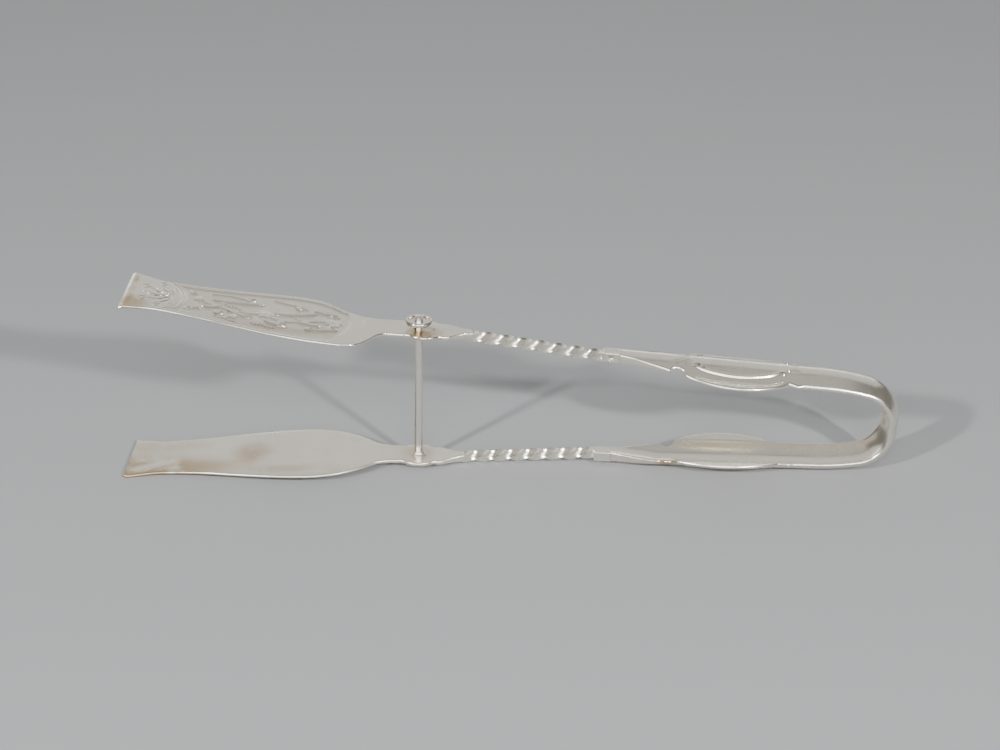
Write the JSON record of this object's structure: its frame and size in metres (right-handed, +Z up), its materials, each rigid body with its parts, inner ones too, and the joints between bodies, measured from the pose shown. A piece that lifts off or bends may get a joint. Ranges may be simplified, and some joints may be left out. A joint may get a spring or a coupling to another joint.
{
  "type": "ice tongs",
  "caption": "Sprung silver ice tongs with flat spatula blades, twisted bars, winged channel handles, a U bow and a guide rod with a stop nut.",
  "frame": {"origin": "centre of the bounding box at its bottom, on the surface that the tongs stand on", "axes": "+X from the blades' tips to the bow, +Y across the arms, +Z up from the lower arm to the upper arm"},
  "size_m": [0.2039, 0.0271, 0.0501],
  "materials": {
    "bar_silver": "polished",
    "blade_silver": "satin polish with brown tarnish",
    "bow_silver": "polished",
    "chased_silver": "polished with chased borders",
    "engraved_silver": "relief ornament on a stippled ground",
    "handle_silver": "satin polish",
    "nut_silver": "polished",
    "rod_silver": "polished",
    "solder_silver": "dull, tarnished"
  },
  "bodies": {
    "lower_arm": {"lower_blade": "blade_silver", "lower_twist": "bar_silver", "lower_handle": "handle_silver", "bow_spring": "bow_silver", "guide_rod": "rod_silver", "rod_foot": "solder_silver"},
    "upper_arm": {"upper_blade": "engraved_silver", "upper_twist": "bar_silver", "upper_handle": "chased_silver"},
    "nut": {"stop_nut": "nut_silver"}
  },
  "joints": [
    {"name": "squeeze", "type": "hinge", "parent": "lower_arm", "child": "upper_arm", "pos_m": [0.09504, 0, 0.01292], "axis": [0, -1, 0], "range_deg": [-0.5, 13.9], "stiffness_Nm_per_rad": 1.2, "springref_deg": -1.2, "deforming": ["bow_spring"]},
    {"name": "nut_turn", "type": "hinge", "parent": "lower_arm", "child": "nut", "pos_m": [-0.02353, 0, 0.04075], "axis": [0.0239, 0, 0.9997], "continuous": true}
  ]
}
